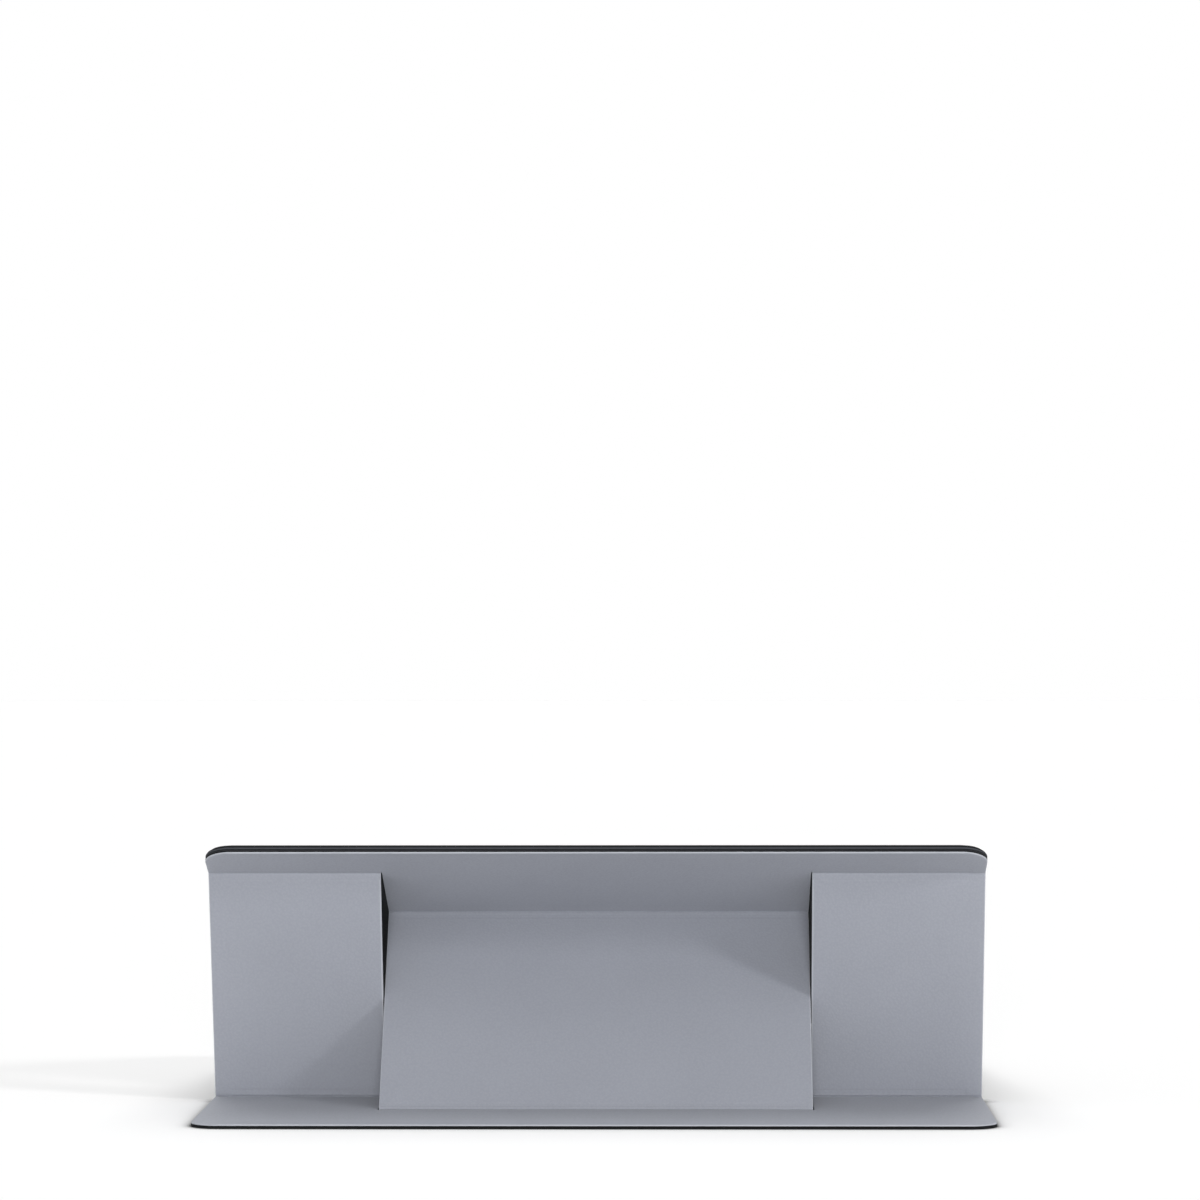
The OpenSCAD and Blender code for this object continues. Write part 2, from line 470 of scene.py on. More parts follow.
def layer(
    name: str,
    x: Array,
    u: Array,
    inside: Array,
    depths: Sequence[Array],
    sheet: Slope | Bend,
    finishes: Sequence[Finish],
    pale_foam_and_highlight: Array | None = None,
) -> bpy.types.Object:
    """Builds a closed layer of a sheet over the cells of a grid.

    The outer face takes the first depth at each point of the grid and the inner face the last.
    The rim runs from one to the other through the depths between them, one row of faces each.
    The map holds x and u in metres, both slid on by the depth so that the rim has a pattern too.

    Args:
        name: The piece's name.
        x: Place across the leaf of each grid point.
        u: Place along the leaf of each grid point.
        inside: True for each cell that the layer holds.
        depths: Two or more depths of each grid point, from the outer face inwards.
        sheet: What carries the sheet into the row frame.
        finishes: One for the outer face, one for each row of the rim, and one for the inner face.
        pale_foam_and_highlight: True for each cell whose outer face takes the first finish of the rim:
            the pale line along the cut edges, partly cut foam and partly painted highlight.

    Returns:
        The piece's object, at the origin.
    """
    size = x.size
    index = np.arange(size).reshape(x.shape)
    i, j = np.nonzero(inside)
    corners = [index[i, j], index[i + 1, j], index[i + 1, j + 1], index[i, j + 1]]
    outer = np.stack(corners, axis=1)
    faces, marks = [outer], [np.zeros(len(outer), int) if pale_foam_and_highlight is None else pale_foam_and_highlight[i, j].astype(int)]
    first, second = rim_edges(inside, index)
    for row in range(len(depths) - 1):
        above, below = row * size, (row + 1) * size
        rim = [first + above, first + below, second + below, second + above]
        faces.append(np.stack(rim, axis=1))
        marks.append(np.full(len(first), row + 1))
    faces.append(outer[:, ::-1] + (len(depths) - 1) * size)
    marks.append(np.full(len(outer), len(depths)))
    used, joined = np.unique(np.concatenate(faces), return_inverse=True)
    joined = joined.reshape(-1, 4)
    points = np.concatenate([sheet.place(x, u, depth).reshape(-1, 3) for depth in depths])[used] * MM
    across = np.concatenate([(x + depth).ravel() for depth in depths])[used] * MM
    along = np.concatenate([(u + depth).ravel() for depth in depths])[used] * MM
    mesh = bpy.data.meshes.new(name)
    mesh.from_pydata(points, [], joined)
    mapped = mesh.uv_layers.new(name="sheet")
    mapped.data.foreach_set("uv", np.stack([across, along], axis=1)[joined.ravel()].ravel())
    materials = list(dict.fromkeys(finishes))
    for finish in materials:
        mesh.materials.append(finish.build())
    slots = np.array([materials.index(finish) for finish in finishes])
    mesh.polygons.foreach_set("material_index", slots[np.concatenate(marks)].astype(np.int32))
    mesh.shade_smooth()
    mesh.set_sharp_from_angle(angle=math.radians(SHARP_EDGE))
    mesh.update()
    piece = bpy.data.objects.new(name, mesh)
    bpy.context.scene.collection.objects.link(piece)
    return piece


def mount(piece: bpy.types.Object, body: str, nodes: Sequence[str]) -> None:
    """Lets a finished piece ride on a body and stand for CAD nodes.

    Args:
        piece: The finished piece.
        body: The body that it moves with.
        nodes: The CAD nodes that it stands for.
    """
    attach(piece, body)
    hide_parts(*nodes)
    LOG.info("%s rides on %s and stands for %s", piece.name, body, ", ".join(nodes))


@dataclass(frozen=True)
class Waves:
    """The slow waves that a bonded skin keeps, with lengths in millimetres for each radian.

    Attributes:
        across: Length of the crossed waves across the leaf.
        along: Their length along it.
        along_phase: Their phase along it.
        sway: How far the waves across are pushed to and fro, in radians.
        sway_along: Length of that push, along the leaf.
        slant_across: Length of the slanting wave across the leaf.
        slant_along: Its length along it.
        slant_phase: Its phase.
        crossed_share: Height of the crossed waves, over the whole.
        slant_share: Height of the slanting wave, over the whole.
    """

    across: float = 17.0
    along: float = 13.0
    along_phase: float = 0.9
    sway: float = 0.6
    sway_along: float = 11.0
    slant_across: float = 31.0
    slant_along: float = 23.0
    slant_phase: float = 1.7
    crossed_share: float = 0.3
    slant_share: float = 0.2

    def height(self, x: Array, u: Array) -> Array:
        """Adds a half, the product of a swaying sine across and one along, and a slanting sine.

        Args:
            x: Places across the leaf.
            u: Places along it.

        Returns:
            Heights from 0 to 1.
        """
        swayed = x / self.across + self.sway * np.sin(u / self.sway_along)
        crossed = np.sin(swayed) * np.sin(u / self.along + self.along_phase)
        slanting = np.sin(x / self.slant_across - u / self.slant_along + self.slant_phase)
        return 0.5 + self.crossed_share * crossed + self.slant_share * slanting


@dataclass(frozen=True)
class Leaf:
    """The folding leaf: its sizes in millimetres, its folds in the side view, and its fields.

    Attributes:
        leg_fold: y and z of the legs' top folds.
        strut_fold: y and z of the strut's top fold.
        foot_fold: y and z of the folds from the legs to the foot.
        half_w: Half the leaf's width.
        length: The leaf's length.
        strut_half: Half the strut's width.
        leg_inner: x of the right leg's inner edge.
        strip_l: Length of the rear strip, from the rear edge to the leg folds.
        leaf_t: Thickness of the leaf.
        cover_t: Thickness of the cover.
        fold_half: Half the width of a pressed band.
        fold_t: Depth of a band's inner face under the leaf's outer face.
        corner_r: Radius of the leaf's outer corners.
        strut_gap: Gap between the strut's lower edge and the band on the foot.
        hem: Width of the sealed border at the leaf's outer edge.
        seam: Width of the sealed border at slits and bands.
        pocket_t: Depth of the pockets for the stiffeners.
        press: Depth to which the bands are pressed in on the outer face.
        emboss: Depth to which the sealed borders sink beside the stiffeners.
        ramp: Length over which the outer face drops into a band.
        inner_ramp: Length over which the inner face does so, and over which borders sink.
        burnish: Radius of the rounded cut edges.
        pale: Width of the pale line along the cut edges, partly the cut foam and partly painted
            highlight where light catches the edges.
        slit_highlight: Width of that line along the legs' inner edges at the slits, widened there as
            painted highlight where the key light catches them.
        wave: Height of the slow waves in the outer face.
        pitch: The widest gap between two lines of a grid.
        rim_lines: Lines of a grid over a rounded edge.
        hem_lines: Lines over the inner side of the hem.
        hem_lead: How far before it they start, as a share of inner_ramp.
        ramp_lines: Lines over each ramp.
        arc_lines: Lines over an outer corner's arc.
        closing_radii: Corner radii in from the side at which the columns start to close up.
    """

    leg_fold: tuple[float, float]
    strut_fold: tuple[float, float]
    foot_fold: tuple[float, float]
    half_w: float
    length: float
    strut_half: float
    leg_inner: float
    strip_l: float
    leaf_t: float
    cover_t: float
    fold_half: float
    fold_t: float
    corner_r: float = 8.0
    strut_gap: float = 0.02
    hem: float = 4.5
    seam: float = 1.2
    pocket_t: float = 0.4
    press: float = 0.06
    emboss: float = 0.02
    ramp: float = 0.45
    inner_ramp: float = 0.9
    burnish: float = 0.25
    pale: float = 0.26
    slit_highlight: float = 0.45
    wave: float = 0.05
    pitch: float = 3.0
    rim_lines: int = 5
    hem_lines: int = 5
    hem_lead: float = 0.1
    ramp_lines: int = 4
    arc_lines: int = 13
    closing_radii: float = 3.0

    @classmethod
    def from_frame(cls, frame: dict) -> Leaf:
        """Reads the folds from the joints, and the sizes from the boxes of the CAD nodes.


        Returns:
            The leaf.
        """
        folds = {joint["name"]: joint["pos_m"] for joint in frame["joints"]}
        names = ("legs_fold", "strut_fold", "foot_fold")
        leg, strut, foot = ((folds[name][1] / MM, folds[name][2] / MM) for name in names)
        low, high = (np.array(corner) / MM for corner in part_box("foot_cover"))
        rear_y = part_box("top_panel_cover")[0].y / MM
        strip_l = (leg[0] - rear_y) / math.cos(slope_angle(leg, strut))
        return cls(
            leg_fold=leg,
            strut_fold=strut,
            foot_fold=foot,
            half_w=high[0],
            length=strip_l + math.dist(leg, foot) + foot[0] - low[1],
            strut_half=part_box("strut_cover")[1].x / MM,
            leg_inner=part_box("right_leg_cover")[0].x / MM,
            strip_l=strip_l,
            leaf_t=foot[1],
            cover_t=high[2] - low[2],
            fold_half=foot[0] - high[1],
            fold_t=foot[1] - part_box("strut_foot_fold")[0].z / MM,
        )

    @property
    def tongue_l(self) -> float:
        """The length from the leg folds to the strut's top fold."""
        return math.dist(self.leg_fold, self.strut_fold)

    @property
    def leg_l(self) -> float:
        """The length of the legs, which is the strut's too."""
        return math.dist(self.leg_fold, self.foot_fold)

    @property
    def tilt(self) -> float:
        """The top panel's slope."""
        return slope_angle(self.leg_fold, self.strut_fold)

    @property
    def fold_u(self) -> dict[Fold, float]:
        """The place along the leaf of each fold."""
        tongue_u = self.strip_l + self.tongue_l
        return {
            Fold.LEG_TOP: self.strip_l,
            Fold.STRUT_TOP: tongue_u,
            Fold.LEG_FOOT: self.strip_l + self.leg_l,
            Fold.STRUT_FOOT: tongue_u + self.leg_l,
        }

    @property
    def fold_at(self) -> dict[Fold, tuple[float, float]]:
        """The y and z of each fold. On the foot, two lie as far apart as the tongue is long."""
        return {
            Fold.LEG_TOP: self.leg_fold,
            Fold.STRUT_TOP: self.strut_fold,
            Fold.LEG_FOOT: self.foot_fold,
            Fold.STRUT_FOOT: (self.foot_fold[0] - self.tongue_l, self.foot_fold[1]),
        }

    @property
    def strut_end(self) -> float:
        """The place along the leaf of the strut's lower edge."""
        return self.fold_u[Fold.STRUT_FOOT] - self.fold_half - self.strut_gap

    def slopes(self) -> dict[Arm, Slope]:
        """Works out how each flat part of the leaf lies, from the folds alone.

        Returns:
            The slopes of the top panel, the legs, the strut and the foot.
        """
        u, at = self.fold_u, self.fold_at
        legs = slope_angle(at[Fold.LEG_TOP], at[Fold.LEG_FOOT])
        strut = slope_angle(at[Fold.STRUT_TOP], at[Fold.STRUT_FOOT])
        return {
            Arm.TOP: Slope(self.leg_fold, u[Fold.LEG_TOP], self.tilt),
            Arm.LEGS: Slope(self.leg_fold, u[Fold.LEG_TOP], legs),
            Arm.STRUT: Slope(self.strut_fold, u[Fold.STRUT_TOP], strut),
            Arm.FOOT: Slope(self.foot_fold, u[Fold.LEG_FOOT], math.pi),
        }

    def edge(self, x: Array, u: Array, inset: float = 0.0) -> Array:
        """Distance in from the leaf's outer edge, which is a rectangle with round corners.

        It is the corner's radius, less the way out past the nearest corner's centre, or plus the
        way back from it inside.

        Args:
            x: Places across the leaf.
            u: Places along it.
            inset: How far the outline lies inside the leaf's.

        Returns:
            Distances in millimetres, above 0 inside.
        """
        radius = self.corner_r - inset
        beyond_x = np.abs(x) - self.half_w + self.corner_r
        beyond_u = np.abs(u - self.length / 2) - self.length / 2 + self.corner_r
        outside = np.hypot(np.maximum(beyond_x, 0), np.maximum(beyond_u, 0))
        return radius - outside - np.minimum(np.maximum(beyond_x, beyond_u), 0)

    def slit(self, x: Array, u: Array) -> Array:
        """Distance from the two slits, each a long thin rectangle from fold to fold.

        Args:
            x: Places across the leaf.
            u: Places along it.

        Returns:
            Distances in millimetres, below 0 in a slit.
        """
        sides = [self.strut_half - np.abs(x), np.abs(x) - self.leg_inner]
        ends = [self.fold_u[Fold.LEG_TOP] - u, u - self.fold_u[Fold.STRUT_FOOT]]
        return np.maximum.reduce([*sides, *ends])

    def band(self, x: Array, u: Array) -> Array:
        """Distance from the nearest pressed band, each a rectangle along a fold.

        The strut's folds run between the slits, and the legs' folds outside them.

        Args:
            x: Places across the leaf.
            u: Places along it.

        Returns:
            Distances in millimetres, below 0 in a band.
        """
        legs, strut = self.leg_inner - np.abs(x), np.abs(x) - self.strut_half
        reach = [
            np.maximum(strut if Arm.STRUT in fold.value else legs, np.abs(u - at) - self.fold_half)
            for fold, at in self.fold_u.items()
        ]
        return np.minimum.reduce(reach)

    def swell(self, x: Array, u: Array) -> Array:
        """How far the outer face lies under its highest, by the slow waves."""
        return self.wave * Waves().height(x, u)

    def pressed(self, x: Array, u: Array) -> Array:
        """How deep a band is pressed: full between the hems, and nothing in them."""
        return self.press * smooth((self.edge(x, u) - self.hem) / self.ramp)

    def pocket(self, x: Array, u: Array) -> Array:
        """Distance in from the sealed border round a stiffener."""
        borders = [self.edge(x, u) - self.hem, self.slit(x, u) - self.seam]
        return np.minimum.reduce([*borders, self.band(x, u) - self.seam])

    def outer(self, x: Array, u: Array) -> Array:
        """Depth of the outer face: the sum of the waves, the bands, the sealed borders and the rims.

        Args:
            x: Places across the leaf.
            u: Places along it.

        Returns:
            Depths in millimetres.
        """
        cut = np.minimum(self.edge(x, u), self.slit(x, u))
        near_band = 1 - smooth(self.band(x, u) / self.ramp)
        sealed = 1 - smooth(self.pocket(x, u) / self.inner_ramp)
        relief = self.pressed(x, u) * near_band + self.emboss * sealed
        return self.swell(x, u) + relief + rounding(cut, self.burnish)

    def inner(self, x: Array, u: Array) -> Array:
        """Depth of the inner face: thinned to the band's depth at a band, and rounded at the rims.

        Args:
            x: Places across the leaf.
            u: Places along it.

        Returns:
            Depths in millimetres.
        """
        cut = np.minimum(self.edge(x, u), self.slit(x, u))
        near_band = 1 - smooth(self.band(x, u) / self.inner_ramp)
        sealed = 1 - smooth(self.pocket(x, u) / self.inner_ramp)
        thinned = (self.leaf_t - self.fold_t) * near_band + self.emboss * sealed * (1 - near_band)
        return self.leaf_t - thinned - rounding(cut, self.burnish)

    def grid(self, inset: float = 0.0) -> tuple[Array, Array]:
        """Rules one grid over the whole leaf, through every cut, border and fold.

        Beyond a column well inside the round corners, the columns close up in step with the
        corner's arc, so that the last one follows the outline: the arc's half width is the
        corner's centre plus the root of the radius squared less the way past the centre squared.

        Args:
            inset: How far the outline lies inside the leaf's.

        Returns:
            x and u of each grid point.
        """
        half_w, end, radius = self.half_w - inset, self.length - inset, self.corner_r - inset
        rim, arc = quarter(self.burnish, self.rim_lines), quarter(radius, self.arc_lines)
        ramp = np.linspace(0, 1, self.ramp_lines)
        hem = self.hem + self.inner_ramp * np.linspace(-self.hem_lead, 1, self.hem_lines)
        border = self.seam + self.inner_ramp * ramp
        seam = np.concatenate([rim, [self.slit_highlight], border])
        across = [0.0, *(half_w - rim), *(half_w - hem)]
        across += [*(self.strut_half - seam), *(self.leg_inner + seam)]
        columns = ruled(across, self.pitch)
        columns = np.concatenate([-columns[:0:-1], columns])
        along = [inset, end, *(inset + rim), *(end - rim), *(inset + arc), *(end - arc)]
        along += [*(inset + hem), *(end - hem), self.strut_end]
        along += [self.fold_u[Fold.LEG_TOP], self.fold_u[Fold.STRUT_FOOT]]
        beside = np.concatenate([self.ramp * ramp, self.inner_ramp * ramp, border])
        for at in self.fold_u.values():
            along += [*(at - self.fold_half - beside), *(at + self.fold_half + beside)]
        x, u = np.meshgrid(columns, ruled(along, self.pitch))
        past = np.clip(radius - np.minimum(u - inset, end - u), 0, radius)
        reach = half_w - radius + np.sqrt(radius**2 - past**2)
        still = half_w - self.closing_radii * radius
        closed = still + (np.abs(x) - still) * (reach - still) / (half_w - still)
        return np.where(np.abs(x) > still, np.sign(x) * closed, x), u


def slope_angle(start: tuple[float, float], end: tuple[float, float]) -> float:
    """The angle that a sheet runs down at, from one fold to another, in the side view."""
    return math.atan2(start[1] - end[1], end[0] - start[0])


def cell_middles(x: Array, u: Array) -> tuple[Array, Array]:
    """The middle of each cell of a grid, which is the mean of its four corners."""
    return tuple((a[:-1, :-1] + a[1:, :-1] + a[:-1, 1:] + a[1:, 1:]) / 4 for a in (x, u))


# Sub-assemblies of the folding leaf


@dataclass(frozen=True)
class Panel:
    """A stiff panel of the folding leaf: a cover, and a backing with a pocket for the stiffener.

    Attributes:
        leaf: The leaf that it is part of.
        name: Its name, which starts the names of its CAD nodes.
        arm: The flat part of the side view that it lies in.
    """

    leaf: Leaf
    name: str
    arm: Arm

    def region(self, x: Array, u: Array) -> Array:
        """True where the panel is, if cuts and bands are left aside."""
        raise NotImplementedError

    def cells(self, x: Array, u: Array) -> Array:
        """Picks the cells whose middles lie in the panel's region, off the slits and bands.

        Args:
            x: Places across the leaf.
            u: Places along it.

        Returns:
            True for each cell of the grid that the panel holds.
        """
        mid_x, mid_u = cell_middles(x, u)
        solid = (self.leaf.slit(mid_x, mid_u) > 0) & (self.leaf.band(mid_x, mid_u) > 0)
        return solid & self.region(mid_x, mid_u)

    def pale_foam_and_highlight(self, x: Array, u: Array) -> Array:
        """True in the pale line along the cut edges: partly the cut edge's pale foam, partly painted
        highlight where light catches the edges.
        """
        return np.minimum(self.leaf.edge(x, u), self.leaf.slit(x, u)) < self.leaf.pale

    def build(self) -> None:
        """Builds the cover and the backing, dresses them, and hangs them on their body."""
        leaf = self.leaf
        x, u = leaf.grid()
        inside = self.cells(x, u)
        sheet = leaf.slopes()[self.arm]
        floor = np.full_like(x, leaf.cover_t)
        pocket = leaf.cover_t + leaf.pocket_t * (leaf.pocket(x, u) > 0)
        skin = [GREY_LEATHER, CUT_EDGE_AND_HIGHLIGHT, BLACK_FILM]
        # Cells of the pale line along the cut edges: partly cut foam, partly painted highlight
        pale = self.pale_foam_and_highlight(*cell_middles(x, u))
        faces = [leaf.outer(x, u), floor]
        cover = layer(f"{self.name}_skin", x, u, inside, faces, sheet, skin, pale)
        mount(cover, self.arm.value, [f"{self.name}_cover"])
        film = [BLACK_FILM, BLACK_EDGE, BLACK_FILM]
        back = layer(f"{self.name}_film", x, u, inside, [pocket, leaf.inner(x, u)], sheet, film)
        mount(back, self.arm.value, [f"{self.name}_backing"])


@dataclass(frozen=True)
class TopPanel(Panel):
    """The panel that is bonded to the mounting leaf: the rear strip and the tongue."""

    name: str = "top_panel"
    arm: Arm = Arm.TOP

    def region(self, x: Array, u: Array) -> Array:
        """Before the leg folds, and before the strut's top fold between the slits."""
        tongue = (np.abs(x) < self.leaf.leg_inner) & (u < self.leaf.fold_u[Fold.STRUT_TOP])
        return tongue | (u < self.leaf.fold_u[Fold.LEG_TOP])


@dataclass(frozen=True)
class Leg(Panel):
    """One of the two legs, on its side of the strut."""

    arm: Arm = Arm.LEGS
    side: Side = Side.RIGHT

    def pale_foam_and_highlight(self, x: Array, u: Array) -> Array:
        """As on the other panels, with a wider line along the slit: painted highlight where the key
        light catches the leg's inner edge.
        """
        return super().pale_foam_and_highlight(x, u) | (self.leaf.slit(x, u) < self.leaf.slit_highlight)

    def region(self, x: Array, u: Array) -> Array:
        """Outside its slit, from its top fold to its foot fold."""
        between = (u > self.leaf.fold_u[Fold.LEG_TOP]) & (u < self.leaf.fold_u[Fold.LEG_FOOT])
        return between & (x * self.side.value > self.leaf.strut_half)


@dataclass(frozen=True)
class Strut(Panel):
    """The strut, which crosses between the legs down to the foot."""

    name: str = "strut"
    arm: Arm = Arm.STRUT

    def region(self, x: Array, u: Array) -> Array:
        """Between the slits, from its top fold to its lower edge."""
        between = (u > self.leaf.fold_u[Fold.STRUT_TOP]) & (u < self.leaf.strut_end)
        return between & (np.abs(x) < self.leaf.leg_inner)


@dataclass(frozen=True)
class Foot(Panel):
    """The foot, with the notch that the strut was cut from."""

    name: str = "foot"
    arm: Arm = Arm.FOOT

    def region(self, x: Array, u: Array) -> Array:
        """Past the leg folds outside the slits, and past the strut's lower fold between them."""
        notch = (np.abs(x) < self.leaf.leg_inner) & (u < self.leaf.fold_u[Fold.STRUT_FOOT])
        return (u > self.leaf.fold_u[Fold.LEG_FOOT]) & ~notch


@dataclass(frozen=True)
class FoldBand:
    """A fold's band: both skins pressed together, soft, with a sharp crease between two low rolls.

    Attributes:
        leaf: The leaf that it is part of.
        name: The CAD node that it stands for.
        fold: The fold that it lies along.
        side: The leg that it belongs to, or None if it is the strut's.
        blended: True if it bends between its two bodies, and False if it rides on the second one.
        bend_half: Half the length of the bend.
        crease: Depth of the crease.
        crease_half: Half its width.
        roll_at: How far from the fold the rolls stand.
        roll_half: Half their width.
        thin_skin: What is left of the cover where the crease is deeper than it.
        flat_share: Share of its height that a band that rides keeps when the stand is folded. Not
            used.
        fine: Gap between two lines of the grid over the bend.
        fine_half: How far past the fold such lines go.
        side_pitch: Gap between two lines beside them.
    """

    leaf: Leaf
    name: str
    fold: Fold
    side: Side | None = None
    blended: bool = True
    bend_half: float = 1.0
    crease: float = 0.05
    crease_half: float = 0.13
    roll_at: float = 0.5
    roll_half: float = 0.25
    thin_skin: float = 0.02
    flat_share: float = 0.35
    fine: float = 0.06
    fine_half: float = 1.0
    side_pitch: float = 0.5

    def cut(self, x: Array, u: Array) -> Array:
        """Finds the distance in from the band's cut ends, at the leaf's outer edge and at a slit.

        Args:
            x: Places across the leaf.
            u: Places along it.

        Returns:
            Distances in millimetres.
        """
        leaf = self.leaf
        slit_side = leaf.strut_half - np.abs(x) if self.side is None else np.abs(x) - leaf.leg_inner
        return np.minimum(leaf.edge(x, u), slit_side)

    def depths(self, x: Array, u: Array) -> list[Array]:
        """Works out the outer face, the joint between the skins, and the inner face.

        The outer face is the pressed band, with a roll on each side of the fold and a crease in
        the fold: each a bell curve of the way past it.

        Args:
            x: Places across the leaf.
            u: Places along it.

        Returns:
            The depths of the three, from the outer face inwards.
        """
        leaf = self.leaf
        past = np.abs(u - leaf.fold_u[self.fold])
        drop = rounding(self.cut(x, u), leaf.burnish)
        pressed = leaf.pressed(x, u)
        roll = pressed * np.exp(-(((past - self.roll_at) / self.roll_half) ** 2))
        crease = self.crease * np.exp(-((past / self.crease_half) ** 2))
        shaped = pressed + leaf.emboss + crease - roll
        outer = leaf.swell(x, u) + shaped + drop
        joint = np.maximum(leaf.cover_t, outer + self.thin_skin)
        return [outer, joint, leaf.fold_t - drop]

    def grid(self) -> tuple[Array, Array]:
        """Rules a grid over the band, closer over the fold.

        Returns:
            x and u of each grid point.
        """
        leaf = self.leaf
        rim = quarter(leaf.burnish, leaf.rim_lines)
        hem = leaf.hem + leaf.ramp * np.linspace(0, 1, leaf.ramp_lines)
        if self.side is None:
            half = ruled([0, *(leaf.strut_half - rim)], leaf.pitch)
            columns = np.concatenate([-half[:0:-1], half])
        else:
            stops = [*(leaf.leg_inner + rim), *(leaf.half_w - rim), *(leaf.half_w - hem)]
            columns = np.sort(self.side.value * ruled(stops, leaf.pitch))
        reach = self.fine_half
        middle = np.linspace(-reach, reach, 2 * math.ceil(reach / self.fine) + 1)
        past = ruled([-leaf.fold_half, *middle, leaf.fold_half], self.side_pitch)
        return tuple(np.meshgrid(columns, leaf.fold_u[self.fold] + past))

    def build(self) -> None:
        """Builds the band and dresses it, then leaves it in the row frame to bend between its bodies,
        or hangs it on the second one to ride.
        """
        leaf = self.leaf
        x, u = self.grid()
        arms, (before, after) = leaf.slopes(), self.fold.value
        at, fold_u = leaf.fold_at[self.fold], leaf.fold_u[self.fold]
        turn = arms[after].angle - arms[before].angle
        sheet = Bend(Slope(at, fold_u, arms[before].angle), turn, self.bend_half)
        inside = np.ones((x.shape[0] - 1, x.shape[1] - 1), bool)
        finishes = [GREY_LEATHER, CUT_EDGE_AND_HIGHLIGHT, BLACK_EDGE, BLACK_FILM]
        # The pale line along the band's cut ends: partly cut foam, partly painted highlight
        pale = self.cut(*cell_middles(x, u)) < leaf.pale
        depths = self.depths(x, u)
        band = layer(f"{self.name}_band", x, u, inside, depths, sheet, finishes, pale)
        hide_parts(self.name)
        if self.blended:
            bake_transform(band)
            LOG.info("%s bends between %s and %s", band.name, before.value, after.value)
        else:
            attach(band, after.value)
            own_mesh(band)
            LOG.info("%s rides on %s and flattens", band.name, after.value)


# Sub-assembly of the mounting leaf


@dataclass(frozen=True)
class MountingLeaf:
    """The flat leaf that sticks on: cover, board and adhesive pad, from the folding leaf upwards.

    Attributes:
        leaf: The folding leaf, whose top panel it lies on.
        burnish: Radius of the cover's rounded cut edge.
        board_round: Radius of the board's edge, and of the pad's on the board's side.
        pad_round: Radius of the pad's edge on its sticky side.
    """

    leaf: Leaf
    burnish: float = 0.12
    board_round: float = 0.05
    pad_round: float = 0.25

    def stack(self, node: str) -> tuple[float, float, float]:
        """Reads back how a flat CAD node lies on the top panel's slope, from its box.

        In the side view the node is a long rectangle, at places p along the slope and at depths d
        under the folding leaf's outer face. A corner has y = p cos + d sin and z = d cos - p sin
        past the fold. The rear edge gives the least y with its upper depth and the greatest z with
        its lower one, and the front edge the other two, so two equations give both depths.

        Args:
            node: The CAD node.

        Returns:
            The depths that it starts and ends at, and how far it lies inside the leaf's outline.
        """
        low, high = (np.array(corner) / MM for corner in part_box(node))
        fold_y, fold_z = self.leaf.leg_fold
        cos, sin = math.cos(self.leaf.tilt), math.sin(self.leaf.tilt)
        rear = (low[1] - fold_y) * sin + (high[2] - fold_z) * cos
        front = (high[1] - fold_y) * sin + (low[2] - fold_z) * cos
        depths = np.linalg.solve([[sin**2, cos**2], [cos**2, sin**2]], [rear, front])
        start, end, inset = np.round([*depths, self.leaf.half_w - high[0]], LAYER_DIGITS)
        return start, end, inset

    def lay(
        self,
        node: str,
        rounds: tuple[float, float],
        finishes: Sequence[Finish],
    ) -> None:
        """Builds one flat layer with the leaf's round corners, and mounts it.

        Args:
            node: The CAD node that it stands for.
            rounds: Radii of the rim's rounding on its outer and its inner face.
            finishes: Finishes of its outer face, its rim and its inner face.
        """
        leaf = self.leaf
        start, end, inset = self.stack(node)
        x, u = leaf.grid(inset)
        rim = np.maximum(leaf.edge(x, u, inset), 0)
        inside = np.ones((x.shape[0] - 1, x.shape[1] - 1), bool)
        depths = [start + rounding(rim, rounds[0]), end - rounding(rim, rounds[1])]
        piece = layer(f"{node}_sheet", x, u, inside, depths, leaf.slopes()[Arm.TOP], finishes)
        mount(piece, Arm.TOP.value, [node])

    def build(self) -> None:
        """Builds the three layers from the folding leaf upwards."""
        cover = (CHARCOAL_LEATHER, CHARCOAL_EDGE, CHARCOAL_LEATHER)
        self.lay("mount_cover", (self.burnish, 0), cover)
        self.lay("mount_board", (0, self.board_round), (BLACK_BOARD,) * 3)
        rounds = (self.board_round, self.pad_round)
        self.lay("adhesive_pad", rounds, (SUCTION_FOAM,) * 3)


# Room, light and camera


@dataclass(frozen=True)
class Lamp:
    """A far soft lamp.

    Its level is what a white face square to it shows of it, from 0 to 1, and its spread is how
    wide it looks from the object, in degrees.
    """

    name: str
    towards: tuple[float, float, float]
    level: float
    spread: float

    def build(self) -> None:
        """Hangs the lamp so that its light goes the way of towards."""
        data = bpy.data.lights.new(self.name, "SUN")
        data.energy = self.level * math.pi
        data.angle = math.radians(self.spread)
        lamp = bpy.data.objects.new(self.name, data)
        lamp.rotation_euler = Vector(self.towards).to_track_quat("-Z", "Y").to_euler()
        bpy.context.scene.collection.objects.link(lamp)


# The key comes low from the right, and the front lamp from just over the camera, so that it fills
# the corners between the panels. The others are wide: one from overhead, and one from above and
# behind, which lights the table and the foot.
LAMPS = (
    Lamp("key", (-0.797, 0.481, -0.366), 0.26, 9.0),
    Lamp("front", (-0.02, 1.0, -0.115), 0.57, 18.0),
    Lamp("overhead", (0.0, 0.25, -1.0), 0.24, 60.0),
    Lamp("back", (0.0, -0.45, -1.0), 0.5, 50.0),
)


